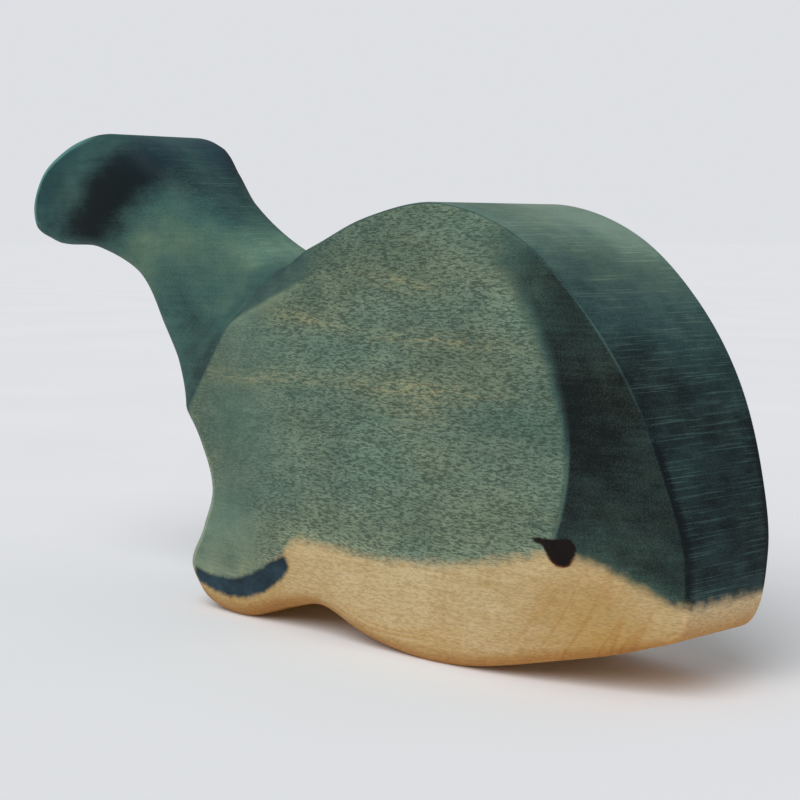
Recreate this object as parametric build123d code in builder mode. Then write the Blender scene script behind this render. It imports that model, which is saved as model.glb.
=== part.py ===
from build123d import *
import math
import os

# A whale figure sawn from one board of pale maple, carved at the cheeks and the tail,
# and coloured with water stain that soaks a little way into the wood.
# Millimetres, +Z up, head towards +X, right-hand side towards -Y.
# The origin is on the floor, under the middle of the length.

# The board and the saw pattern
length = 163.6
board = 31.5
tail_height = 89.2
crest_height = 74.5
valley_height = 64.0
nose_height = 20.8
waist_height = 23.0
standing_flat = 0.3

# The thin stem of the tail, which swells again to the flat fluke behind it
stem_width = 19.0
fluke_width = 26.0
cove_radius = 75.0
cove_angle = 135.0
cove_setback = 49.8
cove_drop = 23.2

# The hollow between the stem and the crease where the flank begins
crease_x = -21.3
crease_drop = 18.9
crease_angle = 142.5
hollow_reach = 18.0

# The bevel along the back, steepest at the valley and gone at the crest
bevel_x = 1.1
bevel_drop = 4.1
bevel_angle = 110.6
bevel_twist = 0.021
bevel_end = 20.0

# The flat of the side is a disc; the wood falls away from its rim, most towards the nose
disc_radius = 38.0
disc_x = 26.0
disc_z = 37.5
rim_slope = 0.09
nose_slope = 0.265
nose_angle = -28.0
nose_focus = 6
ridge_softness = 2.5

# The colours, each as deep as the stain soaks in
stain_depth = 0.4
eye_setback = 20.1
eye_height = 21.5
eye_long = 5.6
eye_tall = 4.2
lash_length = 5.8
lash_drop = 0.4
stroke_width = 3.8
stroke_wrap = 6.0
shade_setback = 26.5
shade_drop = 10.6
shade_long = 19.0
shade_wide = 9.6
shade_angle = 35.0

# How finely the carved side is drawn, and how far the cutting shapes reach
grid_step = 5.0
margin = 6.0
dab_reach = 10.0

half_board = board / 2
nose_end = length / 2
tail_end = -nose_end

# The saw pattern, from the tip of the tail over the back to the nose, and back underneath.
# It dips below the floor under the belly and the flipper, where it is sanded flat to stand on.
pattern = [
    (tail_end, tail_height - 14.6),
    (tail_end + 3.3, tail_height - 7.8),
    (tail_end + 11.6, tail_height - 2.7),
    (tail_end + 23.8, tail_height),
    (tail_end + 32.6, tail_height - 1.7),
    (tail_end + 39.5, tail_height - 6.7),
    (tail_end + 47.9, tail_height - 13.1),
    (-22.4, valley_height + 4.9),
    (-10.0, valley_height),
    (3.5, valley_height + 3.4),
    (18.0, crest_height - 2.5),
    (36.0, crest_height),
    (nose_end - 29.0, crest_height - 5.4),
    (nose_end - 17.2, crest_height - 15.3),
    (nose_end - 8.4, nose_height + 26.4),
    (nose_end - 2.6, nose_height + 12.2),
    (nose_end, nose_height),
    (nose_end - 2.6, nose_height - 11.0),
    (nose_end - 7.8, nose_height - 13.0),
    (58.0, 3.6),
    (33.0, -standing_flat),
    (17.0, 1.9),
    (7.0, 5.3),
    (-3.0, 3.4),
    (-18.0, -standing_flat),
    (-27.9, 2.5),
    (-31.0, 7.8),
    (-26.5, 16.0),
    (-23.8, waist_height),
    (-27.2, waist_height + 8.0),
    (-36.3, waist_height + 17.5),
    (tail_end + 37.3, tail_height - 37.8),
    (tail_end + 30.8, tail_height - 28.0),
    (tail_end + 20.6, tail_height - 22.4),
    (tail_end + 6.3, tail_height - 20.8),
    (tail_end + 0.7, tail_height - 18.0),
]

# The lower edge of the teal stain, from behind the flipper to past the nose
paint_line = [
    (-40.0, 7.0),
    (-27.0, 6.2),
    (-17.0, 5.2),
    (-8.5, 7.6),
    (-3.5, 11.4),
    (2.2, 16.2),
    (8.0, 16.1),
    (20.0, 15.6),
    (36.0, 16.2),
    (50.0, 18.6),
    (nose_end - 21.8, 20.7),
    (nose_end - 14.8, 20.0),
    (nose_end - 8.0, 17.3),
    (nose_end - 1.5, 14.7),
    (nose_end + margin, 14.5),
]

# The middle of the brush stroke on the flipper
stroke_line = [(-33.0, 7.2), (-27.0, 5.9), (-21.0, 5.3), (-14.0, 5.8), (-7.5, 8.1), (-1.5, 11.9)]


def slopes(points, closed):
    """The direction of a smooth line at each of its points, per unit of length."""
    count = len(points)
    found = []
    for i in range(count):
        here = Vector(points[i])
        back = here - Vector(points[i - 1])
        ahead = Vector(points[(i + 1) % count]) - here
        if not closed and i == 0:
            found.append(ahead.normalized())
        elif not closed and i == count - 1:
            found.append(back.normalized())
        else:
            mixed = back.normalized() * ahead.length + ahead.normalized() * back.length
            found.append(mixed / (back.length + ahead.length))
    return found


def draw_smooth(points, closed=False):
    """A smooth line through the points, as one curve for each stretch between two of them."""
    directions = slopes(points, closed)
    count = len(points)
    for i in range(count if closed else count - 1):
        following = (i + 1) % count
        start = Vector(points[i])
        end = Vector(points[following])
        reach = (end - start).length / 3
        Bezier(start, start + directions[i] * reach, end - directions[following] * reach, end)


def inset_pattern(inset):
    """The saw pattern drawn in by the inset, square to its edge."""
    moved = []
    for point, direction in zip(pattern, slopes(pattern, closed=True)):
        along = direction.normalized()
        moved.append((point[0] + along.Y * inset, point[1] - along.X * inset))
    return moved


def soft_min(a, b):
    """The smaller of two values, rounded where they cross."""
    overlap = max(ridge_softness - abs(a - b), 0)
    return min(a, b) - overlap * overlap / (4 * ridge_softness)


def past_line(x, z, line_x, line_z, angle):
    """How far a place on the side lies beyond a straight line, in the direction of the angle."""
    turn = math.radians(angle)
    return (x - line_x) * math.cos(turn) + (z - line_z) * math.sin(turn)


def half_width(x, z):
    """Half the thickness of the carved wood at a place on the side."""
    half_stem = stem_width / 2
    depth = half_board - half_stem
    turn = math.atan2(z - disc_z, x - disc_x) - math.radians(nose_angle)
    towards_nose = ((1 + math.cos(turn)) / 2) ** nose_focus
    slope = rim_slope + (nose_slope - rim_slope) * towards_nose
    past_rim = math.hypot(x - disc_x, z - disc_z) - disc_radius
    flank = soft_min(depth, depth - slope * past_rim)

    past_crease = past_line(x, z, crease_x, valley_height - crease_drop, crease_angle)
    hollow = depth * max(1 - past_crease / hollow_reach, 0) ** 2

    past_bevel = past_line(x, z, bevel_x, valley_height - bevel_drop, bevel_angle)
    into_bevel = past_bevel - soft_min(past_bevel, 0)
    bevel_slope = bevel_twist * max(bevel_end - x, 0)
    left_by_bevel = max(1 - bevel_slope * into_bevel / (2 * depth), 0) ** 2

    past_stem = past_line(x, z, tail_end + cove_setback, tail_height - cove_drop, cove_angle)
    swell = max(past_stem, 0) ** 2 / (2 * cove_radius)
    fluke = soft_min(swell, fluke_width / 2 - half_stem)

    return half_stem + max(soft_min(flank, hollow), 0) * left_by_bevel + fluke


def side_surface(side, inset):
    """The carved side as one smooth face; side is -1 on the right and 1 on the left."""
    columns = math.ceil((length + 2 * margin) / grid_step)
    rows = math.ceil((tail_height + 2 * margin) / grid_step)
    grid = []
    for row in range(rows + 1):
        z = row * grid_step - margin
        line = []
        for column in range(columns + 1):
            x = tail_end + column * grid_step - margin
            line.append((x, side * (half_width(x, z) - inset), z))
        grid.append(line)
    return Face.make_surface_from_array_of_points(grid)


def carved(inset):
    """The whole figure, with its surface drawn in by the inset."""
    with BuildPart() as form:
        with BuildSketch(Plane.XZ):
            with BuildLine():
                draw_smooth(inset_pattern(inset), closed=True)
            make_face()
        extrude(amount=half_board + margin, both=True)
        split(bisect_by=Plane.XY.offset(inset), keep=Keep.TOP)
        for side in (-1, 1):
            extrude(side_surface(side, inset), amount=board, dir=(0, side, 0), mode=Mode.SUBTRACT)
    return form.part


def side_plane(side, depth):
    """The plane parallel to the side that lies the depth inside the board's face."""
    return Plane.XZ.offset(-side * (half_board - depth))


def wash_zone():
    """All that lies above the paint line."""
    top = tail_height + margin
    back = tail_end - margin
    first, last = paint_line[0], paint_line[-1]
    with BuildPart() as zone:
        with BuildSketch(Plane.XZ):
            with BuildLine():
                draw_smooth(paint_line)
                Polyline(last, (last[0], top), (back, top), (back, first[1]), first)
            make_face()
        extrude(amount=board, both=True)
    return zone.part


def eye_zone(side):
    """A dab that is round below and flat on top, with a short lash drawn out behind it."""
    eye_x = nose_end - eye_setback
    top = eye_height + eye_tall / 2
    back_corner = (eye_x - eye_long / 2, eye_height)
    front_corner = (eye_x + eye_long / 2, top)
    with BuildPart() as zone:
        with BuildSketch(side_plane(side, dab_reach)):
            with BuildLine():
                Polyline(back_corner, (eye_x - lash_length, top - lash_drop), front_corner)
                ThreePointArc(front_corner, (eye_x, eye_height - eye_tall / 2), back_corner)
            make_face()
        extrude(amount=-side * board)
    return zone.part


def stroke_zone(side):
    """A band along the flipper's lower edge, which goes a little way round its heel."""
    with BuildPart() as zone:
        with BuildSketch(side_plane(side, stroke_wrap)):
            with BuildLine():
                draw_smooth(stroke_line)
            trace(line_width=stroke_width)
        extrude(amount=-side * board)
    return zone.part


def shade_zone(side):
    """A long dab across the tail, in the hollow just below the fluke."""
    place = Location((tail_end + shade_setback, tail_height - shade_drop), shade_angle)
    with BuildPart() as zone:
        with BuildSketch(side_plane(side, dab_reach)):
            with Locations(place):
                Ellipse(shade_long / 2, shade_wide / 2)
        extrude(amount=-side * board)
    return zone.part


hands = {-1: "right", 1: "left"}
eye_zones = {side: eye_zone(side) for side in hands}
stroke_zones = {side: stroke_zone(side) for side in hands}
shade_zones = {side: shade_zone(side) for side in hands}
dab_zones = [*eye_zones.values(), *stroke_zones.values(), *shade_zones.values()]

# The figure's surface, the wood below the stain, and the layer between them
figure = carved(0)
heart = carved(stain_depth)
with BuildPart() as layer:
    add(figure)
    add(heart, mode=Mode.SUBTRACT)

os.makedirs("parts", exist_ok=True)

# The wood: bare on the belly, and sunk by the depth of the stain elsewhere
with BuildPart() as carved_body:
    add(figure)
    add(wash_zone(), mode=Mode.SUBTRACT)
    for zone in dab_zones:
        add(zone, mode=Mode.SUBTRACT)
    add(heart)
carved_body.part.label = "carved_body"
export_step(carved_body.part, "parts/carved_body.step")

# The teal stain, with the darker dabs let into it
with BuildPart() as teal_wash:
    add(layer.part)
    add(wash_zone(), mode=Mode.INTERSECT)
    for zone in dab_zones:
        add(zone, mode=Mode.SUBTRACT)
teal_wash.part.label = "teal_wash"
export_step(teal_wash.part, "parts/teal_wash.step")

for side, hand in hands.items():
    with BuildPart() as eye:
        add(layer.part)
        add(eye_zones[side], mode=Mode.INTERSECT)
    eye.part.label = f"eye_{hand}"
    export_step(eye.part, f"parts/eye_{hand}.step")

    with BuildPart() as flipper_stroke:
        add(layer.part)
        add(stroke_zones[side], mode=Mode.INTERSECT)
    flipper_stroke.part.label = f"flipper_stroke_{hand}"
    export_step(flipper_stroke.part, f"parts/flipper_stroke_{hand}.step")

    with BuildPart() as fluke_shade:
        add(layer.part)
        add(shade_zones[side], mode=Mode.INTERSECT)
    fluke_shade.part.label = f"fluke_shade_{hand}"
    export_step(fluke_shade.part, f"parts/fluke_shade_{hand}.step")
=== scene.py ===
import logging
import math
from dataclasses import dataclass, field
from enum import Enum
from typing import Any, Callable

import bmesh
import bpy
import numpy as np
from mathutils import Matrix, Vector
from mathutils.geometry import interpolate_bezier


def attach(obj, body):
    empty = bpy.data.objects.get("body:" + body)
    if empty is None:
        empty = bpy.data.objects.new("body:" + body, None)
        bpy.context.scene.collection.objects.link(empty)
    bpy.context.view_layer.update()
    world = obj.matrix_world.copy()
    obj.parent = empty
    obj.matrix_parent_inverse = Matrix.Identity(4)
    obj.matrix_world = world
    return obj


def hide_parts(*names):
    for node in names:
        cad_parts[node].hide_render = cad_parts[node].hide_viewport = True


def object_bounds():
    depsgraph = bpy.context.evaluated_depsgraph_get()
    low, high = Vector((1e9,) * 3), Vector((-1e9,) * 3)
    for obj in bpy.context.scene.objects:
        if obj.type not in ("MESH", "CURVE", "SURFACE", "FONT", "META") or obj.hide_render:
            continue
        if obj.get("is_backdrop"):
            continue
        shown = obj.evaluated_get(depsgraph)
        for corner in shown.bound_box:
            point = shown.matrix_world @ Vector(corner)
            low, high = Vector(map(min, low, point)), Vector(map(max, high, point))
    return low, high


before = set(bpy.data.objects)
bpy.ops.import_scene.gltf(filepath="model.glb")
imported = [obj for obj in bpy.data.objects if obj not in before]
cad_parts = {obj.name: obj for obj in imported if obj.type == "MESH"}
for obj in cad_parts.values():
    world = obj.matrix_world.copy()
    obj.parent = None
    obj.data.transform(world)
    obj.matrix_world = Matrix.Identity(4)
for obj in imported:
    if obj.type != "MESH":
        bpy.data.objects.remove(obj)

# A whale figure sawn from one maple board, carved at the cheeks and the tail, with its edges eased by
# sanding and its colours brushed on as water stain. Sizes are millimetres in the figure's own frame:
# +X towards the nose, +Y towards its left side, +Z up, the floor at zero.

LOG = logging.getLogger("whale")
MM = 0.001
BODY = "root"
Point = tuple[float, float]
Place = tuple[float, float, float]
Socket = bpy.types.NodeSocket


class Hand(Enum):
    """The two sides of the figure, by the sign of their Y."""

    RIGHT = -1
    LEFT = 1


class Coat(Enum):
    """What the surface carries, by the record's material slot."""

    BARE = "bare_maple"
    WASH = "teal_stain"
    EYE = "eye_stain"
    STROKE = "navy_stain"
    # The fluke's near-black dab: dark stain together with painted shade
    SHADE = "shade_stain"


# Lines of the side view


@dataclass(frozen=True)
class SmoothLine:
    """A smooth line through points of the side view, as (x, z)."""

    points: tuple[Point, ...]
    closed: bool = False

    def slopes(self) -> list[Vector]:
        """Finds the line's direction at each point.

        Returns:
            One vector per point, per unit of length.
        """
        knots = [Vector(p) for p in self.points]
        found = []
        for i, here in enumerate(knots):
            back, ahead = here - knots[i - 1], knots[(i + 1) % len(knots)] - here
            if not self.closed and i == 0:
                found.append(ahead.normalized())
            elif not self.closed and i == len(knots) - 1:
                found.append(back.normalized())
            else:
                mixed = back.normalized() * ahead.length + ahead.normalized() * back.length
                found.append(mixed / (back.length + ahead.length))
        return found

    def trace(self, steps: int) -> np.ndarray:
        """Follows the line.

        Args:
            steps: How many stretches to draw between two points.

        Returns:
            The places along the line, one row of (x, z) each.
        """
        knots = [Vector(p) for p in self.points]
        slopes = self.slopes()
        count = len(knots)
        places: list[Vector] = []
        for i in range(count if self.closed else count - 1):
            a, b = knots[i], knots[(i + 1) % count]
            reach = (b - a).length / 3
            handle_a, handle_b = a + slopes[i] * reach, b - slopes[(i + 1) % count] * reach
            places.extend(interpolate_bezier(a, handle_a, handle_b, b, steps + 1)[:-1])
        if not self.closed:
            places.append(knots[-1])
        return np.array([p[:2] for p in places])


def outward_of(line: np.ndarray) -> np.ndarray:
    """The outward directions along a closed line that runs clockwise."""
    ahead = np.roll(line, -1, axis=0) - np.roll(line, 1, axis=0)
    ahead /= np.linalg.norm(ahead, axis=1)[:, None]
    return np.column_stack((-ahead[:, 1], ahead[:, 0]))


def depth_inside(line: np.ndarray, x: np.ndarray, z: np.ndarray) -> np.ndarray:
    """Measures how far places lie inside a closed line.

    Args:
        line: The line's places, one row of (x, z) each.
        x: The places' x.
        z: The places' z.

    Returns:
        The distance to the line, below zero outside it.
    """
    nearest = np.full(x.shape, np.inf)
    crossings = np.zeros(x.shape, int)
    for a, b in zip(line, np.roll(line, -1, axis=0)):
        run = b - a
        share = ((x - a[0]) * run[0] + (z - a[1]) * run[1]) / (run @ run)
        share = np.clip(share, 0, 1)
        away = np.hypot(x - a[0] - share * run[0], z - a[1] - share * run[1])
        nearest = np.minimum(nearest, away)
        if a[1] != b[1]:
            spans = (a[1] > z) != (b[1] > z)
            crossings += spans & (x < a[0] + (z - a[1]) / run[1] * run[0])
    return np.where(crossings % 2 == 1, nearest, -nearest)


# The saw pattern, from the tip of the tail over the back to the nose and back underneath, each point with
# the radius that sanding has left on its edge: crisp round the head, full on the tail stem and the flipper
PATTERN_AND_EASING: tuple[Place, ...] = (
    (-81.8, 74.6, 1.8), (-78.5, 81.4, 1.5), (-70.2, 86.5, 1.5), (-58.0, 89.2, 2.5),
    (-49.2, 87.5, 4.0), (-42.3, 82.5, 5.0), (-33.9, 76.1, 6.0), (-22.4, 68.9, 6.0),
    (-10.0, 64.0, 4.0), (3.5, 67.4, 1.2), (18.0, 72.0, 0.8), (36.0, 74.5, 0.6),
    (52.8, 69.1, 0.5), (64.6, 59.2, 0.5), (73.4, 47.2, 0.5), (79.2, 33.0, 0.5),
    (81.8, 20.8, 0.8), (79.2, 9.8, 1.2), (74.0, 7.8, 1.5), (58.0, 3.6, 2.5),
    (33.0, -0.3, 3.0), (17.0, 1.9, 3.0), (7.0, 5.3, 2.5), (-3.0, 3.4, 3.0),
    (-18.0, -0.3, 3.5), (-27.9, 2.5, 3.2), (-31.0, 7.8, 2.5), (-26.5, 16.0, 2.5),
    (-23.8, 23.0, 3.0), (-27.2, 31.0, 3.0), (-36.3, 40.5, 3.5), (-44.5, 51.4, 4.0),
    (-51.0, 61.2, 4.0), (-61.2, 66.8, 3.0), (-75.5, 68.4, 2.2), (-81.1, 71.2, 2.0),
)

# The lower edge of the teal stain, from behind the flipper to past the nose
PAINT_LINE = SmoothLine((
    (-40.0, 7.0), (-27.0, 6.2), (-17.0, 5.2), (-8.5, 7.6), (-3.5, 11.4), (2.2, 16.2), (8.0, 16.1),
    (20.0, 15.6), (36.0, 16.2), (50.0, 18.6), (60.0, 20.7), (67.0, 20.0), (73.8, 17.3), (80.3, 14.7),
    (87.8, 14.5),
))

# The dab of an eye, flat on top and with a pointed tail, and the brush stroke along the flipper
EYE_LINE = SmoothLine((
    (56.3, 23.1), (57.1, 23.5), (59.0, 23.5), (61.5, 23.6), (63.8, 23.5), (64.5, 22.3), (63.8, 20.6),
    (62.2, 19.4), (60.5, 19.8), (59.2, 21.1), (58.5, 22.2), (57.2, 22.5),
), closed=True)
STROKE_LINE = SmoothLine((
    (-28.4, 7.8), (-26.0, 7.3), (-21.5, 7.1), (-16.9, 7.3), (-12.0, 8.6), (-7.8, 10.4), (-4.0, 12.4),
    (-0.6, 13.3), (0.3, 11.6), (-2.8, 8.2), (-7.2, 5.8), (-11.7, 4.2), (-16.2, 3.5), (-20.8, 3.6),
    (-24.6, 4.3), (-27.2, 5.0), (-28.5, 6.0),
), closed=True)


# Handling meshes


def start_editing(obj: bpy.types.Object) -> None:
    """Leaves only this object selected and opens it in edit mode, with all of it selected."""
    bpy.ops.object.select_all(action="DESELECT")
    obj.select_set(True)
    bpy.context.view_layer.objects.active = obj
    bpy.ops.object.mode_set(mode="EDIT")
    bpy.ops.mesh.select_mode(type="FACE")
    bpy.ops.mesh.select_all(action="SELECT")


def stop_editing() -> None:
    """Goes back to object mode."""
    bpy.ops.object.mode_set(mode="OBJECT")


def select_faces(obj: bpy.types.Object, wanted: Callable[[bmesh.types.BMFace], bool]) -> None:
    """Selects the faces of the object in edit mode that pass a test, and no others."""
    bpy.ops.mesh.select_all(action="DESELECT")
    work = bmesh.from_edit_mesh(obj.data)
    for face in work.faces:
        face.select_set(wanted(face))
    bmesh.update_edit_mesh(obj.data)


def corners(mesh: bpy.types.Mesh) -> np.ndarray:
    """All the mesh's points in millimetres, one row each."""
    flat = np.empty(len(mesh.vertices) * 3)
    mesh.vertices.foreach_get("co", flat)
    return flat.reshape(-1, 3) / MM


def middles(mesh: bpy.types.Mesh) -> np.ndarray:
    """The middles of all the mesh's faces in millimetres, one row each."""
    flat = np.empty(len(mesh.polygons) * 3)
    mesh.polygons.foreach_get("center", flat)
    return flat.reshape(-1, 3) / MM


def place_corners(mesh: bpy.types.Mesh, places: np.ndarray) -> None:
    """Puts all the mesh's points at the places given in millimetres."""
    mesh.vertices.foreach_set("co", (places * MM).ravel())
    mesh.update()


def copy_of(obj: bpy.types.Object, name: str) -> bpy.types.Object:
    """A copy of the object with a mesh of its own."""
    bpy.ops.object.select_all(action="DESELECT")
    obj.select_set(True)
    bpy.context.view_layer.objects.active = obj
    bpy.ops.object.duplicate()
    made = bpy.context.object
    made.name = made.data.name = name
    return made


# The carved block


@dataclass(frozen=True)
class CarvedSide:
    """How far the wood reaches to each side of the middle plane.

    The flat of the side is a disc. The wood falls away from its rim, most towards the nose. Past a crease
    the flank gives way to a hollow, which runs out into the thin tail stem. A bevel along the back begins
    at the valley and is gone at the crest, and the stem swells again to the flat of the fluke. Each line
    is a place on it, as (x, z), and the angle in degrees of the way across it.
    """

    half_board: float = 15.75
    half_stem: float = 9.5
    half_fluke: float = 13.0
    tail_height: float = 89.2
    fluke_line: Place = (-32.0, 66.0, 135.0)
    fluke_radius: float = 75.0
    fluke_softness: float = 1.4
    crease_line: Place = (-21.3, 45.1, 142.5)
    crease_softness: float = 0.5
    hollow_reach: float = 18.0
    bevel_line: Place = (1.1, 59.9, 110.6)
    bevel_softness: float = 0.8
    bevel_twist: float = 0.021
    bevel_end: float = 20.0
    disc_radius: float = 38.0
    disc_centre: Point = (26.0, 37.5)
    rim_slope: float = 0.09
    nose_slope: float = 0.265
    nose_angle: float = -28.0
    nose_focus: int = 6
    ridge_softness: float = 0.8

    def soft_min(self, a: np.ndarray, b: np.ndarray | float, softness: np.ndarray | float) -> np.ndarray:
        """The smaller of two values, rounded where they cross."""
        overlap = np.maximum(softness - np.abs(a - b), 0)
        return np.minimum(a, b) - overlap**2 / (4 * softness)

    def past(self, line: Place, x: np.ndarray, z: np.ndarray) -> np.ndarray:
        """How far places lie beyond a line."""
        turn = math.radians(line[2])
        return (x - line[0]) * math.cos(turn) + (z - line[1]) * math.sin(turn)

    def half_width(self, x: np.ndarray, z: np.ndarray) -> np.ndarray:
        """Finds half the thickness of the carved wood.

        Args:
            x: Places along the length.
            z: Heights above the floor.

        Returns:
            The reach from the middle plane to the side at each place.
        """
        depth = self.half_board - self.half_stem
        away_x, away_z = x - self.disc_centre[0], z - self.disc_centre[1]
        turn = np.arctan2(away_z, away_x) - math.radians(self.nose_angle)
        towards_nose = ((1 + np.cos(turn)) / 2) ** self.nose_focus
        slope = self.rim_slope + (self.nose_slope - self.rim_slope) * towards_nose
        past_rim = np.hypot(away_x, away_z) - self.disc_radius
        flank = self.soft_min(depth - slope * past_rim, depth, self.ridge_softness)

        into_bevel = self.past(self.bevel_line, x, z)
        into_bevel = into_bevel - self.soft_min(into_bevel, 0, self.bevel_softness)
        bevel_slope = self.bevel_twist * np.maximum(self.bevel_end - x, 0)
        left_by_bevel = np.maximum(1 - bevel_slope * into_bevel / (2 * depth), 0) ** 2

        hollow = depth * np.maximum(1 - self.past(self.crease_line, x, z) / self.hollow_reach, 0) ** 2
        body = np.maximum(self.soft_min(flank, hollow, self.crease_softness + into_bevel), 0)

        swell = np.maximum(self.past(self.fluke_line, x, z), 0) ** 2 / (2 * self.fluke_radius)
        fluke = self.soft_min(swell, self.half_fluke - self.half_stem, self.fluke_softness)
        return self.half_stem + body * left_by_bevel + fluke


@dataclass
class WhaleBlock:
    """The wooden block: sawn out, eased along its edges, carved at its sides and sanded flat to stand.

    The box is the lowest and the highest corner that the block keeps within.
    """

    box: np.ndarray
    side: CarvedSide = field(default_factory=CarvedSide)
    stretch_steps: int = 16
    arc_steps: int = 6
    band_steps: int = 12
    grid: float = 1.0
    fine_grid: float = 0.3
    crease_span: Point = (0.2, 2.7)
    bevel_span: Point = (-0.9, 1.0)
    edge_reach: float = 6.5

    def outline(self) -> np.ndarray:
        """The traced saw pattern, one row of (x, z) each."""
        points = tuple((x, z) for x, z, _ in PATTERN_AND_EASING)
        return SmoothLine(points, closed=True).trace(self.stretch_steps)

    def easing(self) -> np.ndarray:
        """Spreads the edge radii along the pattern.

        Returns:
            One radius for each place on the traced pattern.
        """
        radii = np.array([radius for _, _, radius in PATTERN_AND_EASING])
        share = np.arange(self.stretch_steps) / self.stretch_steps
        share = share * share * (3 - 2 * share)
        return (radii[:, None] * (1 - share) + np.roll(radii, -1)[:, None] * share).ravel()

    def build(self) -> bpy.types.Object:
        """Makes the block.

        Returns:
            The block's closed surface as one object.
        """
        block = self.saw_out()
        self.fill_sides(block)
        self.carve(block)
        self.sand_flat(block)
        return block

    def saw_out(self) -> bpy.types.Object:
        """Bends a strip round the pattern, with its edges rolled over onto the two sides.

        Returns:
            The strip, open at both sides.
        """
        line, radius = self.outline(), self.easing()
        outward = outward_of(line)
        around, across = len(line), 2 * self.arc_steps + self.band_steps
        bpy.ops.object.select_all(action="DESELECT")
        bpy.ops.mesh.primitive_grid_add(x_subdivisions=around, y_subdivisions=across, size=1)
        block = bpy.context.object
        flat = corners(block.data) * MM + 0.5
        i = np.rint(flat[:, 0] * around).astype(int) % around
        ring = np.rint(flat[:, 1] * across)
        hand = np.where(ring <= across / 2, -1, 1)
        turn = np.minimum(np.minimum(ring, across - ring) / self.arc_steps, 1) * math.pi / 2
        inset = radius[i] * (1 - np.sin(turn))
        edge = self.side.half_board - radius[i] * (1 - np.cos(turn))
        share = np.clip((ring - self.arc_steps) / self.band_steps, 0, 1)
        on_band = (ring > self.arc_steps) & (ring < across - self.arc_steps)
        y = np.where(on_band, (2 * share - 1) * edge, hand * edge)
        x = line[i, 0] - outward[i, 0] * inset
        z = line[i, 1] - outward[i, 1] * inset
        place_corners(block.data, np.column_stack((x, y, z)))
        return block

    def fill_sides(self, block: bpy.types.Object) -> None:
        """Closes both sides and cuts them into a fine grid.

        Args:
            block: The strip from saw_out.
        """
        start_editing(block)
        bpy.ops.mesh.remove_doubles(threshold=0.01 * MM)
        bpy.ops.mesh.fill_holes(sides=0)
        bpy.ops.mesh.select_all(action="SELECT")
        bpy.ops.mesh.normals_make_consistent(inside=False)
        select_faces(block, lambda face: len(face.verts) <= 4)
        bpy.ops.mesh.hide(unselected=False)
        for place, way in self.cuts():
            bpy.ops.mesh.select_all(action="SELECT")
            bpy.ops.mesh.bisect(plane_co=place * MM, plane_no=way, threshold=0.03 * MM)
        bpy.ops.mesh.reveal(select=False)
        stop_editing()

    def cuts(self) -> list[tuple[Vector, Vector]]:
        """Lists the cuts that divide the sides: a square grid, and close ones where they are creased.

        Returns:
            A place on each cut and the way across it.
        """
        low, high = self.outline().min(axis=0), self.outline().max(axis=0)
        found = []
        for axis, way in ((0, Vector((1, 0, 0))), (1, Vector((0, 0, 1)))):
            for at in np.arange(low[axis] + self.grid / 2, high[axis], self.grid):
                found.append((way * at, way))
        for (x, z, angle), (start, end) in (
            (self.side.crease_line, self.crease_span),
            (self.side.bevel_line, self.bevel_span),
        ):
            way = Vector((math.cos(math.radians(angle)), 0, math.sin(math.radians(angle))))
            for beyond in np.arange(start, end, self.fine_grid):
                found.append((Vector((x, 0, z)) + way * beyond, way))
        return found

    def carve(self, block: bpy.types.Object) -> None:
        """Brings both sides in to the carved thickness, and what lies between them in proportion.

        Args:
            block: The filled block, as thick as the board all over.
        """
        places = corners(block.data)
        drawn_in = self.side.half_board - self.side.half_width(places[:, 0], places[:, 2])
        share = np.minimum(np.abs(places[:, 1]) / (self.side.half_board - self.edge_reach), 1)
        places[:, 1] -= np.sign(places[:, 1]) * drawn_in * share
        low, high = self.box[0].copy(), self.box[1]
        low[2] = places[:, 2].min()
        place_corners(block.data, np.clip(places, low, high))

    def sand_flat(self, block: bpy.types.Object) -> None:
        """Takes off what lies below the floor, which leaves the two flats that the figure stands on.

        Args:
            block: The carved block.
        """
        start_editing(block)
        bpy.ops.mesh.bisect(
            plane_co=(0, 0, 0),
            plane_no=(0, 0, 1),
            use_fill=True,
            clear_inner=True,
            threshold=0.0001 * MM,
        )
        bpy.ops.mesh.select_all(action="SELECT")
        bpy.ops.mesh.normals_make_consistent(inside=False)
        stop_editing()


# Where the stain went, and where light and shade are painted in


@dataclass(frozen=True)
class BrushMark:
    """A soft place where the stain took differently from elsewhere, alike on both sides.

    The place is (x, distance from the middle plane, z), and the spread is along, deep and across, with the
    long way turned up from the nose by the angle in degrees. Load is more or less stain, blue and teal are
    bluer and greener mixes, calm is wood whose grain doesn't show, and ochre is wood that stays warm.
    Some marks paint light and shade as well as stain, as their comments say.
    """

    place: Place
    spread: Place
    angle: float = 0.0
    load: float = 0.0
    blue: float = 0.0
    teal: float = 0.0
    calm: float = 0.0
    ochre: float = 0.0

    def weight(self, places: np.ndarray) -> np.ndarray:
        """How strongly the mark is felt at each place, from 0 to 1."""
        turn = math.radians(self.angle)
        x, z = places[:, 0] - self.place[0], places[:, 2] - self.place[2]
        along = (x * math.cos(turn) + z * math.sin(turn)) / self.spread[0]
        across = (z * math.cos(turn) - x * math.sin(turn)) / self.spread[2]
        deep = (np.abs(places[:, 1]) - self.place[1]) / self.spread[1]
        return np.exp(-(along**2 + across**2 + deep**2))


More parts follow.
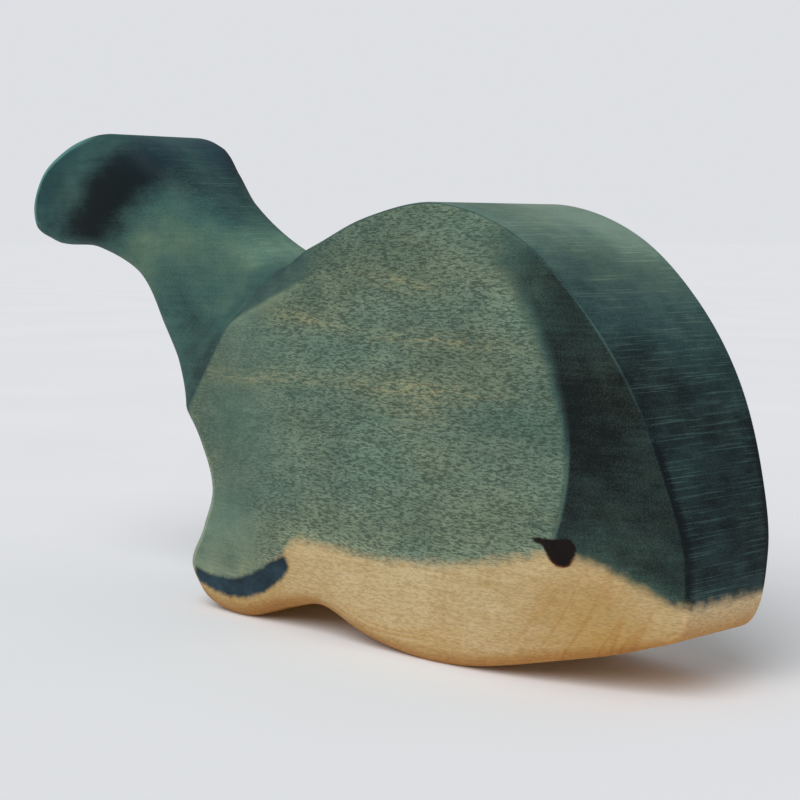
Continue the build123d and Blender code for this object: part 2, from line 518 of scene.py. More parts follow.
BRUSH_MARKS: tuple[BrushMark, ...] = (
    # The fluke: a near-black dab across it, dark stain together with painted shade where the fluke flares away from
    # the light, painted shade below it, with teal left at its rim and navy on its top
    BrushMark((-54.0, 12.5, 79.0), (14.0, 7.0, 6.0), 32, load=0.32),
    BrushMark((-45.5, 12.0, 81.5), (6.5, 6.0, 5.5), 20, load=0.26),
    BrushMark((-58.0, 12.5, 76.5), (7.0, 6.0, 6.0), 45, load=0.18),
    BrushMark((-63.0, 12.5, 70.5), (12.0, 7.0, 4.0), -4, load=0.28),
    BrushMark((-74.5, 13.0, 80.0), (9.0, 8.0, 4.5), 52, load=0.20, teal=1.0),
    BrushMark((-64.0, 13.0, 87.0), (9.0, 7.0, 3.0), 18, load=0.11, teal=0.9),
    BrushMark((-47.0, 6.0, 86.0), (8.0, 7.0, 4.0), -30, load=0.07, blue=1.0),
    # The tail stem: thin patches high on its side, more stain on its edge and lower down
    BrushMark((-44.0, 10.0, 67.5), (9.0, 5.0, 4.5), -5, load=-0.13),
    BrushMark((-33.0, 9.0, 67.5), (6.0, 4.0, 3.5), -20, load=-0.10),
    BrushMark((-36.0, 3.0, 77.5), (11.0, 7.0, 5.0), -38, load=0.13),
    BrushMark((-35.0, 10.0, 52.0), (7.0, 6.0, 9.0), 40, load=0.13),
    # The valley, painted paler where its floor faces up as painted light, and the smooth dark bevel beside it
    BrushMark((-19.0, 3.0, 66.5), (8.0, 7.0, 3.0), -25, load=-0.34),
    BrushMark((-6.0, 13.0, 61.0), (11.0, 6.0, 4.0), 21, calm=1.2),
    # The flank behind the middle, and the flipper, which is smooth and greyer
    BrushMark((-16.0, 14.5, 36.0), (12.0, 6.0, 16.0), 20, load=0.13),
    BrushMark((-14.0, 15.0, 38.0), (18.0, 6.0, 24.0), 0, calm=0.5),
    BrushMark((-13.5, 15.0, 49.0), (14.0, 6.0, 3.0), 52, load=-0.05, teal=0.3),
    BrushMark((24.0, 15.5, 66.0), (24.0, 5.0, 6.0), 0, load=0.05),
    BrushMark((50.0, 15.5, 40.0), (12.0, 5.0, 14.0), 0, load=0.04),
    BrushMark((-20.0, 14.0, 12.0), (9.0, 20.0, 8.0), 20, load=0.04, calm=1.4),
    # The cheek: darkest half-way up, thinner low down and where it runs out at the top
    BrushMark((65.0, 14.0, 42.0), (6.0, 5.0, 11.0), 10, load=0.08),
    BrushMark((71.0, 12.0, 22.0), (7.0, 5.0, 7.0), -30, load=-0.05),
    BrushMark((54.0, 14.5, 63.0), (8.0, 5.0, 6.0), -40, load=-0.13),
    # Warm streaks along the grain of the flank, and warm wood in front of and below the eye
    BrushMark((-6.0, 15.0, 44.6), (20.0, 4.0, 1.1), 2, ochre=0.8),
    BrushMark((34.0, 15.0, 44.6), (16.0, 4.0, 1.2), -1, ochre=0.9),
    BrushMark((31.0, 15.0, 41.5), (9.0, 4.0, 3.0), 0, ochre=0.5),
    BrushMark((6.0, 15.0, 55.0), (9.0, 4.0, 1.0), -6, ochre=0.9),
    BrushMark((35.0, 15.0, 52.6), (15.0, 4.0, 1.1), -1, ochre=0.9),
    BrushMark((28.0, 15.0, 61.6), (9.0, 4.0, 1.0), -9, ochre=0.9),
    BrushMark((64.0, 14.0, 13.0), (11.0, 5.0, 6.0), 20, ochre=0.8),
    BrushMark((70.0, 12.0, 8.5), (9.0, 5.0, 3.0), 18, ochre=1.0),
    BrushMark((20.0, 13.0, 2.0), (60.0, 20.0, 6.0), 0, ochre=0.8),
    BrushMark((-8.0, 14.0, 8.0), (14.0, 8.0, 6.0), 20, ochre=0.35),
)


@dataclass
class StainMap:
    """Works out, for each point of a mesh, what its wood and stain look like there."""

    block: WhaleBlock
    ridge_radius: float = 37.4
    cheek_heights: Point = (36.0, 52.0)
    cheek_fades: Point = (0.9, 2.4)
    cheek_leads: Point = (0.2, 2.0)

    def mark(self, mesh: bpy.types.Mesh, dab: np.ndarray | None = None) -> None:
        """Writes the mesh's attributes.

        Args:
            mesh: A finished mesh.
            dab: The line of the dab that the mesh carries, if it has one.
        """
        places = corners(mesh)
        x, z = places[:, 0], places[:, 2]
        line = PAINT_LINE.trace(12)
        values = self.measure(places)
        values["paint"] = z - np.interp(x, line[:, 0], line[:, 1])
        values["dab"] = depth_inside(dab, x, z) if dab is not None else np.full(len(x), -9.0)
        for name in ("load", "blue", "teal", "calm", "ochre"):
            values[name] = sum(mark.weight(places) * getattr(mark, name) for mark in BRUSH_MARKS)
        for name, value in values.items():
            layer = mesh.attributes.new(name, "FLOAT", "POINT")
            layer.data.foreach_set("value", value.astype(np.float32))

    def measure(self, places: np.ndarray) -> dict[str, np.ndarray]:
        """Measures where places lie on the carved form.

        Args:
            places: The mesh's points.

        Returns:
            How far each lies past the crease, the bevel's line and the cheek's ridge, how deep it is in the
            cheek (the ridge is crisp low down and fades higher up), how far it is turned to the nose, how
            far it is from the side, and whether it is on a crisp edge.
        """
        x, y, z = places.T
        side = self.block.side
        away_x, away_z = x - side.disc_centre[0], z - side.disc_centre[1]
        from_middle = np.maximum(np.hypot(away_x, away_z), 0.001)
        past_ridge = from_middle - self.ridge_radius
        lead = np.interp(z, self.cheek_heights, self.cheek_leads)
        fade = np.interp(z, self.cheek_heights, self.cheek_fades)
        from_side = side.half_width(x, z) - np.abs(y)
        from_edge = np.maximum(np.maximum(depth_inside(self.block.outline(), x, z), 0), from_side)
        return {
            "past_crease": side.past(side.crease_line, x, z),
            "past_bevel": side.past(side.bevel_line, x, z),
            "past_ridge": past_ridge,
            "in_cheek": (past_ridge + lead) / fade,
            "ahead": away_x / from_middle,
            "from_side": from_side,
            "arris": np.clip((0.36 - from_edge) / 0.25, 0, 1),
        }


# Finishes


def linear(colour: str) -> tuple[float, float, float, float]:
    """Turns an sRGB hex colour to linear red, green, blue and alpha."""
    parts = [int(colour[i : i + 2], 16) / 255 for i in (1, 3, 5)]
    return (*[c / 12.92 if c <= 0.04045 else ((c + 0.055) / 1.055) ** 2.4 for c in parts], 1.0)


def add_node(
    tree: bpy.types.NodeTree,
    kind: str,
    values: dict[str | int, Any],
    out: str | int = 0,
    stops: tuple[tuple[float, str], ...] = (),
    **settings: Any,
) -> Socket | None:
    """Adds a node.

    Args:
        tree: The material's nodes.
        kind: The node's type, without its usual first word.
        values: A number, a colour or another node's output for each input, by name or place.
        out: The output to hand back.
        stops: The places and colours of a colour ramp, in order.
        settings: The node's own properties.

    Returns:
        One of the node's outputs, if it has any.
    """
    node = tree.nodes.new("ShaderNode" + kind)
    for name, value in settings.items():
        setattr(node, name, value)
    for name, value in values.items():
        if isinstance(value, bpy.types.NodeSocket):
            tree.links.new(value, node.inputs[name])
        else:
            node.inputs[name].default_value = value
    for i, (at, colour) in enumerate(stops):
        elements = node.color_ramp.elements
        element = elements[i] if i < 2 else elements.new(at)
        element.position = at
        element.color = linear(colour)
    return node.outputs[out] if node.outputs else None


@dataclass(frozen=True)
class Pattern:
    """A cloudy pattern by the size of its clouds in millimetres along x, y and z.

    A round one is measured out from the middle of the side instead of along x.
    """

    size: Place
    detail: float = 2.0
    roughness: float = 0.5
    shift: float = 0.0
    is_round: bool = False


PATTERNS: dict[str, Pattern] = {
    "mottle": Pattern((18.0, 18.0, 12.0), 4.0, 0.55),
    "cloud": Pattern((5.0, 5.0, 3.2), 3.0, 0.55, 7.0),
    "hue": Pattern((24.0, 24.0, 12.0), 2.0, 0.5, 13.0),
    "fibre": Pattern((18.0, 3.0, 0.6), 3.0, 0.6, 3.0),
    "fleck": Pattern((0.95, 0.95, 0.22), 2.0, 0.6, 5.0),
    "dash": Pattern((3.6, 3.6, 0.45), 2.0, 0.6, 17.0),
    "lateral": Pattern((0.20, 14.0, 0.20), 2.0, 0.6, 1.0),
    "ring": Pattern((3.2, 60.0, 40.0), 1.0, 0.5, 11.0, is_round=True),
    "edge": Pattern((2.4, 2.4, 1.8), 4.0, 0.65, 9.0),
    "grit": Pattern((0.22, 0.22, 0.22), 1.0, 0.5, 2.0),
}


@dataclass(frozen=True)
class StainedMaple:
    """Sanded maple with water stain brushed onto it.

    Maple is pale and close-grained: short dark flecks on its flat sides, long faint fibres, and fine cross
    lines where the saw and the sanding belt met the end grain. Water stain lets all of that show. End
    grain drinks more of it and goes dark, a rubbed edge keeps less, and its lower edge bleeds. Some light
    and shade is painted in too: painted highlights on upward faces, on edges that face back, along the ridge
    and the upper arrises, and painted shade in the hollow, under the wood and along the band's low edges.
    """

    coat: Coat
    name: str

    def build(self) -> bpy.types.Material:
        """Makes the material.

        Returns:
            The finished material.
        """
        material = bpy.data.materials.new(self.name)
        material.use_nodes = True
        tree = material.node_tree
        tree.nodes.clear()
        found = self.look_up(tree)
        self.tell_apart(tree, found)
        wood = self.wood_colour(tree, found)
        stain = self.stain_colour(tree, found)
        colour = add_node(tree, "Mix", {0: found["covered"], 6: wood, 7: stain}, 2, data_type="RGBA")
        if self.coat is Coat.EYE:
            colour = self.eye_colour(tree, found, colour)
        if self.coat is Coat.STROKE:
            colour = self.stroke_colour(tree, found, colour)
        self.finish(tree, found, colour)
        return material

    def look_up(self, tree: bpy.types.NodeTree) -> dict[str, Socket]:
        """Finds what is known of a place on the surface.

        Args:
            tree: The material's nodes.

        Returns:
            Where it lies in millimetres, how it faces, what was marked there, and each pattern's value.
        """
        seen = add_node(tree, "TexCoord", {}, "Object")
        place = add_node(tree, "VectorMath", {0: seen, "Scale": 1 / MM}, operation="SCALE")
        facing = add_node(tree, "NewGeometry", {}, "Normal")
        found = {}
        for axis in "XYZ":
            found[axis.lower()] = add_node(tree, "SeparateXYZ", {0: place}, axis)
            found["facing_" + axis.lower()] = add_node(tree, "SeparateXYZ", {0: facing}, axis)
        for name in (
            "past_crease", "past_bevel", "past_ridge", "in_cheek", "ahead", "from_side", "arris",
            "paint", "dab", "load", "blue", "teal", "calm", "ochre",
        ):
            found[name] = add_node(tree, "Attribute", {}, "Fac", attribute_name=name)
        outward = add_node(tree, "CombineXYZ", {0: found["past_ridge"], 1: found["y"], 2: found["z"]})
        for name, pattern in PATTERNS.items():
            scale = tuple(1 / size for size in pattern.size)
            values = {0: outward if pattern.is_round else place, 1: scale, 2: (pattern.shift,) * 3}
            spread = add_node(tree, "VectorMath", values, operation="MULTIPLY_ADD")
            values = {"Vector": spread, "Scale": 1.0, "Detail": pattern.detail, "Roughness": pattern.roughness}
            found[name] = add_node(tree, "TexNoise", values, "Fac")
        return found

    def tell_apart(self, tree: bpy.types.NodeTree, found: dict[str, Socket]) -> None:
        """Adds how far a place belongs to each part of the figure, from 0 to 1.

        Args:
            tree: The material's nodes.
            found: What is known of the place, which grows by the parts.
        """
        sideways = add_node(tree, "Math", {0: found["facing_y"]}, operation="ABSOLUTE")
        off_ridge = add_node(tree, "Math", {0: found["past_ridge"]}, operation="ABSOLUTE")
        off_ring = add_node(tree, "Math", {0: found["ring"], 1: 0.5}, operation="SUBTRACT")
        off_ring = add_node(tree, "Math", {0: off_ring}, operation="ABSOLUTE")
        bleed = add_node(tree, "Math", {0: found["edge"], 1: 3.0, 2: -1.5}, operation="MULTIPLY_ADD")
        bleed = add_node(tree, "Math", {0: bleed, 1: found["paint"]}, operation="ADD")
        ranges = {
            "side": (sideways, 0.70, 0.92),
            "band": (sideways, 0.92, 0.70),
            "square_on": (sideways, 0.5, 0.2),
            "above": (found["facing_z"], 0.52, 0.97),
            # Facing down: where shade is painted under the wood
            "under": (found["facing_z"], 0.0, -0.8),
            "upturned": (found["facing_z"], -0.25, 0.05),
            "behind": (found["facing_x"], -0.14, -0.30),
            "backward": (found["facing_x"], -0.01, -0.12),
            "fluke": (found["x"], -44.0, -56.0),
            "head": (found["x"], 0.0, 30.0),
            "tail": (found["past_crease"], 0.9, 2.2),
            "body": (found["past_crease"], 2.2, 0.9),
            "by_crease": (found["past_crease"], 9.0, 2.5),
            "past_bevel": (found["past_bevel"], 0.0, 1.2),
            "valleyward": (found["x"], 16.0, -4.0),
            "past_ridge": (found["in_cheek"], -1.0, 1.0),
            "on_ridge": (off_ridge, 0.45, 0.1),
            "noseward": (found["ahead"], 0.46, 0.82),
            "high": (found["z"], 36.0, 56.0),
            "topmost": (found["z"], 54.0, 68.0),
            "low": (found["z"], 44.0, 34.0),
            "by_heel": (found["z"], 36.0, 28.0),
            "beside": (found["from_side"], 2.2, 0.3),
            "near_side": (found["from_side"], 5.0, 2.0),
            "rightward": (found["y"], 14.0, -14.0),
            "leftward": (found["y"], -14.0, 14.0),
            "grained": (found["calm"], 0.8, 0.1),
            "flecks": (found["fleck"], 0.40, 0.64),
            "lines": (found["lateral"], 0.55, 0.66),
            "dashes": (found["dash"], 0.40, 0.58),
            "arcs": (off_ring, 0.035, 0.0),
            "covered": (bleed, -1.1, 1.7),
            "full": (bleed, 0.0, 5.0),
        }
        for name, (value, low, high) in ranges.items():
            values = {"Value": value, "From Min": low, "From Max": high}
            found[name] = add_node(tree, "MapRange", values, interpolation_type="SMOOTHSTEP")
        products = {
            "cheek": ("past_ridge", "noseward", "side"),
            # Lighter along the cheek's ridge low down: painted highlight
            "ridge_painted_highlight": ("on_ridge", "noseward", "low", "side"),
            "front": ("band", "head"),
            # Lighter where the head's band faces up: painted highlight
            "crown_painted_highlight": ("front", "above"),
            # Darker at the top of the band's right edge: painted shade; lighter high on its left edge: painted
            # highlight
            "right_brow_painted_shade": ("front", "topmost", "rightward"),
            "left_brow_painted_highlight": ("front", "high", "leftward"),
            # Darker along the low edges of the head's band: painted shadow line
            "band_edge_painted_shadow": ("beside", "front", "low"),
            # Darker in the hollow beside the crease: painted shade
            "hollow": ("tail", "by_crease", "side"),
            "bevel": ("past_bevel", "valleyward", "body"),
            # Lighter teal along the fluke's edges that face back: painted highlight
            "rim": ("fluke", "backward", "upturned", "near_side"),
            # Lighter along the flipper's back edge: painted highlight
            "heel": ("by_heel", "behind", "near_side"),
            "side_flecks": ("flecks", "flank", "side", "body", "grained"),
            "band_lines": ("lines", "band", "square_on"),
            # Lighter along the upper arrises: painted highlight, together with stain rubbed thin on the edge
            "upper_arris_highlight_and_wear": ("arris", "high"),
            "streaks": ("ochre", "dashes", "flank", "body"),
            "growth": ("ochre", "arcs"),
        }
        for name, (first, *others) in products.items():
            found[name] = found[first]
            for other in others:
                found[name] = add_node(tree, "Math", {0: found[name], 1: found[other]}, operation="MULTIPLY")
            if name == "cheek":
                found["flank"] = add_node(tree, "Math", {0: 1.0, 1: found[name]}, operation="SUBTRACT")

    def wood_colour(self, tree: bpy.types.NodeTree, found: dict[str, Socket]) -> Socket:
        """Colours the bare maple: honey, with fine flecks, and warmer low down and round the snout.

        Args:
            tree: The material's nodes.
            found: What is known of the place.

        Returns:
            The wood's colour.
        """
        tone: Socket | float = -0.15
        for name, share in (("fibre", 0.35), ("mottle", 0.45), ("cloud", 0.3), ("grit", 0.2)):
            tone = add_node(tree, "Math", {0: found[name], 1: share, 2: tone}, operation="MULTIPLY_ADD")
        colour = add_node(
            tree, "ValToRGB", {0: tone}, stops=((0.25, "#AC925F"), (0.5, "#C0AA7E"), (0.75, "#D4C4A0"))
        )
        for name, share, tint in (
            ("front", 0.8, "#D6BE94"),
            ("ochre", 0.55, "#B28840"),
            ("growth", 0.5, "#A87A3A"),
            ("flecks", 0.4, "#8A6A3C"),
        ):
            share = add_node(tree, "Math", {0: found[name], 1: share}, operation="MULTIPLY")
            colour = add_node(tree, "Mix", {0: share, 6: colour, 7: linear(tint)}, 2, data_type="RGBA")
        # Darker and warmer where the wood faces down: painted shade under the belly, together with warmer wood low
        # down
        return add_node(
            tree,
            "Mix",
            {0: found["under"], 6: colour, 7: linear("#E2C08C")},
            2,
            data_type="RGBA",
            blend_type="MULTIPLY",
        )

    def stain_colour(self, tree: bpy.types.NodeTree, found: dict[str, Socket]) -> Socket:
        """Colours the teal stain by how much of it the wood has taken up.

        Args:
            tree: The material's nodes.
            found: What is known of the place.

        Returns:
            The stain's colour.
        """
        amount: Socket | float = -0.35
        # Besides the stain's own load, some of these terms are painted light and shade: painted shade in the hollow
        # and along the band's low edges, painted highlights on the fluke's rim, the flipper's heel, the crown, the
        # ridge and the upper arrises, and painted shade and highlight on the two brows
        for name, share in (
            ("mottle", 0.32), ("cloud", 0.26), ("fibre", 0.16), ("grit", 0.36), ("load", 1.0), ("full", 0.12),
            ("tail", 0.23), ("hollow", 0.10), ("bevel", 0.32), ("rim", -0.20), ("heel", -0.22),
            ("cheek", 0.52), ("front", 0.54), ("crown_painted_highlight", -0.74), ("band_edge_painted_shadow", 0.18), ("band_lines", -0.19),
            ("ridge_painted_highlight", -0.12), ("upper_arris_highlight_and_wear", -0.28), ("right_brow_painted_shade", 0.14), ("left_brow_painted_highlight", -0.11),
        ):
            amount = add_node(tree, "Math", {0: found[name], 1: share, 2: amount}, operation="MULTIPLY_ADD")
        colour = add_node(tree, "ValToRGB", {0: amount}, stops=(
            (0.0, "#A9AC90"), (0.22, "#829079"), (0.42, "#647564"),
            (0.60, "#48605A"), (0.78, "#2F403F"), (0.95, "#161D1F"),
        ))
        tint = add_node(
            tree, "ValToRGB", {0: found["hue"]}, stops=((0.38, "#E6F5F8"), (0.5, "#EEF6F8"), (0.62, "#F4F7F3"))
        )
        for share, tint in (
            (1.0, tint),
            (found["cheek"], linear("#FFF2E5")),
            (found["front"], linear("#ECF1F6")),
            # Bluer where the surface faces up: painted reflection of the pale studio
            (found["above"], linear("#DFF1FE")),
            (found["tail"], linear("#EAFCFB")),
        ):
            values = {0: share, 6: colour, 7: tint}
            colour = add_node(tree, "Mix", values, 2, data_type="RGBA", blend_type="MULTIPLY")
        for name, share, tint in (
            ("blue", 0.6, "#2A4250"),
            ("teal", 0.6, "#264A4C"),
            # Light teal on the fluke's back-facing edges: painted highlight
            ("rim", 0.75, "#5E908C"),
            ("streaks", 0.6, "#A9A178"),
            ("side_flecks", 0.68, "#27342F"),
        ):
            share = add_node(tree, "Math", {0: found[name], 1: share}, operation="MULTIPLY")
            colour = add_node(tree, "Mix", {0: share, 6: colour, 7: linear(tint)}, 2, data_type="RGBA")
        return colour

    def eye_colour(self, tree: bpy.types.NodeTree, found: dict[str, Socket], under: Socket) -> Socket:
        """Lays the eye's near-black over what is under it, with a red-brown fringe below.

        Args:
            tree: The material's nodes.
            found: What is known of the place.
            under: The colour beneath.

        Returns:
            The colour with the eye.
        """
        ragged = add_node(tree, "Math", {0: found["edge"], 1: 0.8, 2: -0.4}, operation="MULTIPLY_ADD")
        ragged = add_node(tree, "Math", {0: ragged, 1: found["dab"]}, operation="ADD")
        ranges = {"fringe": (ragged, -0.5, 0.0), "heart": (ragged, -0.25, 0.3), "foot": (found["z"], 21.4, 20.2)}
        shares = {}
        for name, (value, low, high) in ranges.items():
            values = {"Value": value, "From Min": low, "From Max": high}
            shares[name] = add_node(tree, "MapRange", values, interpolation_type="SMOOTHSTEP")
        red = add_node(tree, "Math", {0: shares["fringe"], 1: shares["foot"]}, operation="MULTIPLY")
        colour = add_node(tree, "Mix", {0: red, 6: under, 7: linear("#4E2318")}, 2, data_type="RGBA")
        dark = add_node(
            tree, "ValToRGB", {0: found["cloud"]}, stops=((0.3, "#110D0C"), (0.7, "#1E1714"))
        )
        return add_node(tree, "Mix", {0: shares["heart"], 6: colour, 7: dark}, 2, data_type="RGBA")

    def stroke_colour(self, tree: bpy.types.NodeTree, found: dict[str, Socket], under: Socket) -> Socket:
        """Lays the flipper's navy stroke over what is under it.

        Args:
            tree: The material's nodes.
            found: What is known of the place.
            under: The colour beneath.

        Returns:
            The colour with the stroke.
        """
        ragged = add_node(tree, "Math", {0: found["edge"], 1: 1.3, 2: -0.65}, operation="MULTIPLY_ADD")
        ragged = add_node(tree, "Math", {0: ragged, 1: found["dab"]}, operation="ADD")
        values = {"Value": ragged, "From Min": -0.5, "From Max": 0.7}
        soaked = add_node(tree, "MapRange", values, interpolation_type="SMOOTHSTEP")
        navy = add_node(tree, "ValToRGB", {0: found["cloud"]}, stops=((0.3, "#1A262D"), (0.7, "#2E434D")))
        return add_node(tree, "Mix", {0: soaked, 6: under, 7: navy}, 2, data_type="RGBA")

    def finish(self, tree: bpy.types.NodeTree, found: dict[str, Socket], colour: Socket) -> None:
        """Gives the surface its sheen and its fine relief.

        Args:
            tree: The material's nodes.
            found: What is known of the place.
            colour: The surface's colour.
        """
        relief: Socket | float = 0.0
        for name, share in (("side_flecks", -0.5), ("band_lines", 0.4), ("fibre", 0.5), ("grit", 0.6)):
            relief = add_node(tree, "Math", {0: found[name], 1: share, 2: relief}, operation="MULTIPLY_ADD")
        bump = add_node(tree, "Bump", {"Height": relief, "Strength": 0.2, "Distance": 0.1 * MM})
        rough = add_node(tree, "Math", {0: found["cloud"], 1: 0.12, 2: 0.52}, operation="MULTIPLY_ADD")
        surface = add_node(tree, "BsdfPrincipled", {
            "Base Color": colour,
            "Roughness": rough,
            "Normal": bump,
            "IOR": 1.45,
            "Specular IOR Level": 0.25 if self.coat is Coat.BARE else 0.1,
        })
        add_node(tree, "OutputMaterial", {"Surface": surface})


# Pieces


@dataclass
class Zone:
    """The part of the surface that a coat takes: inside a line of the side view, between two depths."""

    line: np.ndarray
    near: float
    far: float

    def cut_into(self, block: bpy.types.Object) -> None:
        """Cuts the zone's edge into the block's surface.

        Args:
            block: The block, which stays closed.
        """
        bpy.ops.object.select_all(action="DESELECT")
        bpy.ops.mesh.primitive_circle_add(vertices=len(self.line), radius=1, fill_type="NGON")
        cutter = bpy.context.object
        level = np.full(len(self.line), self.near)
        place_corners(cutter.data, np.column_stack((self.line[:, 0], level, self.line[:, 1])))
        start_editing(cutter)
        move = {"value": (0, (self.far - self.near) * MM, 0)}
        bpy.ops.mesh.extrude_region_move(TRANSFORM_OT_translate=move)
        bpy.ops.mesh.select_all(action="SELECT")
        bpy.ops.mesh.normals_make_consistent(inside=False)
        bpy.ops.mesh.faces_shade_smooth()
        stop_editing()
        start_editing(block)
        bpy.ops.mesh.faces_shade_flat()
        stop_editing()
        cutter.select_set(True)
        bpy.ops.object.join()
        start_editing(block)
        select_faces(block, lambda face: face.smooth)
        bpy.ops.mesh.intersect(mode="SELECT_UNSELECT", separate_mode="CUT", solver="EXACT")
        select_faces(block, lambda face: face.smooth)
        bpy.ops.mesh.delete(type="FACE")
        bpy.ops.mesh.select_all(action="SELECT")
        bpy.ops.mesh.remove_doubles(threshold=0.0005 * MM)
        stop_editing()

    def holds(self, places: np.ndarray) -> np.ndarray:
        """Tells which places lie in the zone."""
        within = (places[:, 1] > self.near) & (places[:, 1] < self.far)
        return within & (depth_inside(self.line, places[:, 0], places[:, 2]) > 0)


@dataclass
class CoatPiece:
    """One coat of stain, let into the wood as deep as it soaks in."""

    node: str
    coat: Coat
    zone: Zone
    dab: np.ndarray | None = None
    depth: float = 0.4

    def build(self, block: bpy.types.Object, owner: np.ndarray, number: int, stain: StainMap) -> bpy.types.Object:
        """Lifts the coat off the block and gives it its thickness.

        Args:
            block: The block with all the zones cut in.
            owner: The number of the coat on each of the block's faces.
            number: This coat's number.
            stain: What the wood and the stain look like.

        Returns:
            The coat as a closed piece.
        """
        piece = copy_of(block, self.node + "_coat")
        start_editing(piece)
        select_faces(piece, lambda face: owner[face.index] != number)
        bpy.ops.mesh.delete(type="FACE")
        stop_editing()
        if self.dab is not None:
            start_editing(piece)
            bpy.ops.mesh.quads_convert_to_tris()
            bpy.ops.mesh.subdivide(number_cuts=2)
            stop_editing()
        layer = piece.modifiers.new("soak", "SOLIDIFY")
        layer.thickness = self.depth * MM
        layer.offset = -1
        bpy.ops.object.modifier_apply(modifier=layer.name)
        bpy.ops.object.shade_smooth_by_angle(angle=math.radians(40))
        stain.mark(piece.data, self.dab)
        return piece


@dataclass
class Whale:
    """The whole figure: the wooden block and its coats."""

    block: WhaleBlock
    depth: float = 0.4
    shade_centre: Point = (-55.3, 78.6)
    shade_half: Point = (9.5, 4.8)
    shade_angle: float = 35.0
    eye_margin: float = 0.8
    stroke_margin: float = 1.0
    dab_reach: float = 5.0
    stroke_reach: float = 9.75
    clear: float = 20.0
    finishes: dict[Coat, bpy.types.Material] = field(default_factory=dict)

    def shade_line(self) -> np.ndarray:
        """The edge of the dab on the fluke, clockwise."""
        around = np.radians(np.arange(0, -360, -6))
        along, across = self.shade_half[0] * np.cos(around), self.shade_half[1] * np.sin(around)
        turn = math.radians(self.shade_angle)
        x = self.shade_centre[0] + along * math.cos(turn) - across * math.sin(turn)
        z = self.shade_centre[1] + along * math.sin(turn) + across * math.cos(turn)
        return np.column_stack((x, z))

    def coats(self) -> list[CoatPiece]:
        """Lists the coats.

        Returns:
            The dabs first, because they are let into the wash, and the wash last.
        """
        eye, stroke = EYE_LINE.trace(4), STROKE_LINE.trace(4)
        around_eye = eye + self.eye_margin * outward_of(eye)
        around_stroke = stroke + self.stroke_margin * outward_of(stroke)
        pieces = []
        for hand in Hand:
            name = hand.name.lower()
            depths = sorted((hand.value * self.dab_reach, hand.value * self.clear))
            heel = sorted((hand.value * self.stroke_reach, hand.value * self.clear))
            pieces.append(CoatPiece(f"eye_{name}", Coat.EYE, Zone(around_eye, *depths), eye))
            pieces.append(CoatPiece(f"flipper_stroke_{name}", Coat.STROKE, Zone(around_stroke, *heel), stroke))
            pieces.append(CoatPiece(f"fluke_shade_{name}", Coat.SHADE, Zone(self.shade_line(), *depths)))
        edge = PAINT_LINE.trace(8)
        front, back = edge[-1, 0], -edge[-1, 0]
        top = self.block.side.tail_height + self.clear
        above = np.vstack((edge, ((front, top), (back, top), (back, edge[0, 1]))))
        pieces.append(CoatPiece("teal_wash", Coat.WASH, Zone(above[::-1], -self.clear, self.clear)))
        return pieces

    def build(self) -> list[bpy.types.Object]:
        """Builds the block, cuts the coats into it and takes them apart.

        Returns:
            All the pieces.
        """
        block, stain, coats = self.block.build(), StainMap(self.block), self.coats()
        for coat in coats:
            coat.zone.cut_into(block)
        owner = np.full(len(block.data.polygons), -1)
        places = middles(block.data)
        for number, coat in enumerate(coats):
            owner[(owner < 0) & coat.zone.holds(places)] = number
        pieces = []
        for number, coat in enumerate(coats):
            piece = coat.build(block, owner, number, stain)
            pieces.append(self.dress(piece, coat.coat, coat.node))
        wood = copy_of(block, "carved_body_wood")
        start_editing(wood)
        select_faces(wood, lambda face: owner[face.index] >= 0)
        sink = {"value": -self.depth * MM}
        bpy.ops.mesh.extrude_region_shrink_fatten(TRANSFORM_OT_shrink_fatten=sink)
        stop_editing()
        bpy.ops.object.shade_smooth_by_angle(angle=math.radians(40))
        stain.mark(wood.data)
        pieces.append(self.dress(wood, Coat.BARE, "carved_body"))
        bpy.data.objects.remove(block)
        return pieces

    def dress(self, piece: bpy.types.Object, coat: Coat, node: str) -> bpy.types.Object:
        """Gives a piece its finish and its place in the frame.

        Args:
            piece: The piece.
            coat: What it carries.
            node: The node of the frame that it stands for.

        Returns:
            The same piece.
        """
        if coat not in self.finishes:
            names = {
                Coat.BARE: "sanded maple",
                Coat.WASH: "teal water stain on maple",
                Coat.EYE: "dark brown stain on maple",
                Coat.STROKE: "navy stain on maple",
                # The fluke's near-black dab is dark stain together with painted shade where the fluke turns from the
                # light
                Coat.SHADE: "near-black stain on maple",
            }
            self.finishes[coat] = StainedMaple(coat, names[coat]).build()
        piece.data.materials.clear()
        piece.data.materials.append(self.finishes[coat])
        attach(piece, BODY)
        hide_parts(node)
        LOG.info("%s: %d faces", piece.name, len(piece.data.polygons))
        return piece


# The studio


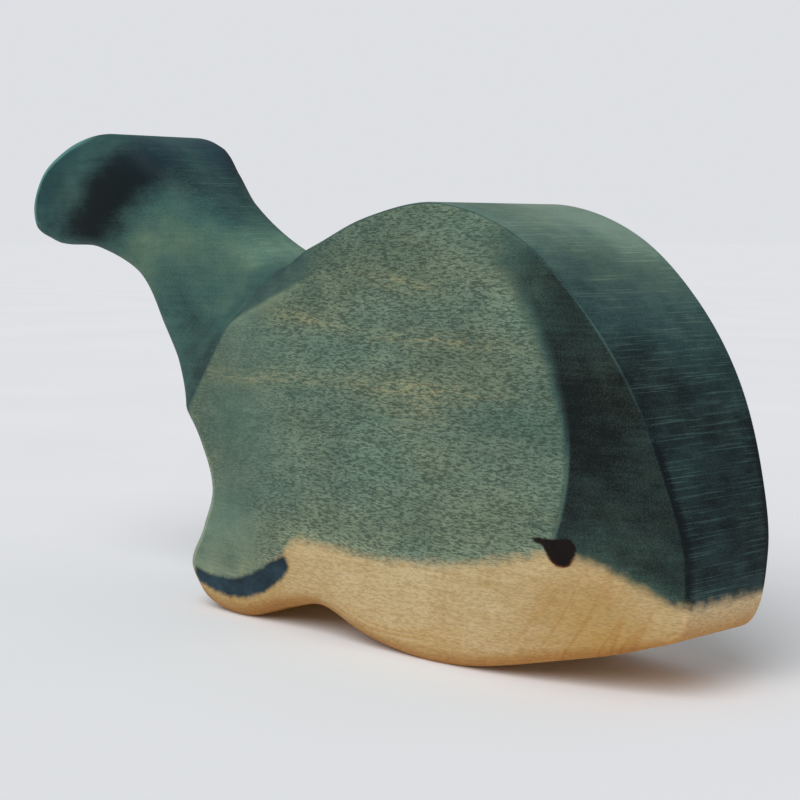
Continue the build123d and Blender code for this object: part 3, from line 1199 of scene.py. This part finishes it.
@dataclass
class Studio:
    """A pale floor, soft light from the upper left, and the camera."""

    camera_place: Place = (236.5, -224.3, 68.68)
    camera_azimuth: float = 45.0
    camera_pitch: float = -5.06
    lens: float = 81.81
    key_azimuth: float = 18.0
    key_height: float = 45.0
    key_strength: float = 0.62
    bounce_azimuth: float = 45.0
    bounce_height: float = -40.0
    bounce_strength: float = 0.14
    fill_strength: float = 0.38

    def build(self) -> None:
        """Sets up the floor, the light and the camera."""
        self.lay_floor()
        self.hang_light("key", self.key_azimuth, self.key_height, self.key_strength, 50)
        bounce = self.hang_light("bounce", self.bounce_azimuth, self.bounce_height, self.bounce_strength, 90)
        bounce.use_shadow = False
        self.fill_in()
        self.place_camera()

    def lay_floor(self) -> None:
        """Lays a wide pale floor, with a faint unevenness."""
        bpy.ops.object.select_all(action="DESELECT")
        bpy.ops.mesh.primitive_plane_add(size=40)
        floor = bpy.context.object
        floor.name = "floor"
        material = bpy.data.materials.new("pale matt paper")
        material.use_nodes = True
        tree = material.node_tree
        tree.nodes.clear()
        place = add_node(tree, "TexCoord", {}, "Object")
        cloud = add_node(tree, "TexNoise", {"Vector": place, "Scale": 9.0, "Detail": 2.0}, "Fac")
        tone = add_node(tree, "ValToRGB", {0: cloud}, stops=((0.3, "#F3F5F9"), (0.7, "#F6F8FC")))
        values = {"Base Color": tone, "Roughness": 0.9, "Specular IOR Level": 0.0}
        surface = add_node(tree, "BsdfPrincipled", values)
        add_node(tree, "OutputMaterial", {"Surface": surface})
        floor.data.materials.append(material)
        floor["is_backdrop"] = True

    def hang_light(self, name: str, azimuth: float, height: float, strength: float, spread: float) -> bpy.types.Light:
        """Hangs a broad soft light.

        Args:
            name: What it is called.
            azimuth: Where it comes from in degrees, turned from the right-hand side towards the nose.
            height: How far above the floor it comes from in degrees.
            strength: Its share of a full light.
            spread: How wide it is in degrees.

        Returns:
            The light.
        """
        turn, rise = math.radians(azimuth), math.radians(height)
        towards = Vector((math.sin(turn) * math.cos(rise), -math.cos(turn) * math.cos(rise), math.sin(rise)))
        bpy.ops.object.light_add(type="SUN", location=towards)
        lamp = bpy.context.object
        lamp.name = name
        lamp.rotation_euler = towards.to_track_quat("Z", "Y").to_euler()
        lamp.data.energy = strength * math.pi
        lamp.data.angle = math.radians(spread)
        return lamp.data

    def fill_in(self) -> None:
        """Fills the shadows evenly from all round, in front of a pale backdrop."""
        world = bpy.data.worlds.new("studio")
        bpy.context.scene.world = world
        world.use_nodes = True
        tree = world.node_tree
        tree.nodes.clear()
        seen = add_node(tree, "LightPath", {}, "Is Camera Ray")
        fill = add_node(tree, "Background", {"Color": linear("#FFFFFF"), "Strength": self.fill_strength})
        backdrop = add_node(tree, "Background", {"Color": linear("#DEE0E4"), "Strength": 1.0})
        light = add_node(tree, "MixShader", {0: seen, 1: fill, 2: backdrop})
        add_node(tree, "OutputWorld", {"Surface": light})
        bpy.context.scene.view_settings.view_transform = "Standard"

    def place_camera(self) -> None:
        """Puts the camera where the figure shows its right side and its head."""
        bpy.ops.object.camera_add(location=Vector(self.camera_place) * MM)
        camera = bpy.context.object
        pitch = math.radians(90 + self.camera_pitch)
        camera.rotation_euler = (pitch, 0, math.radians(self.camera_azimuth))
        camera.data.lens = self.lens
        camera.data.sensor_width = 36
        camera.data.clip_start = 0.01
        bpy.context.scene.camera = camera


def main() -> None:
    """Builds the pieces in order, reporting each one, within the box of the record's parts, then the studio."""
    logging.basicConfig(level=logging.INFO)
    cad_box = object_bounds()
    Whale(WhaleBlock(np.array(cad_box) / MM)).build()
    Studio().build()


if __name__ == "__main__":
    main()
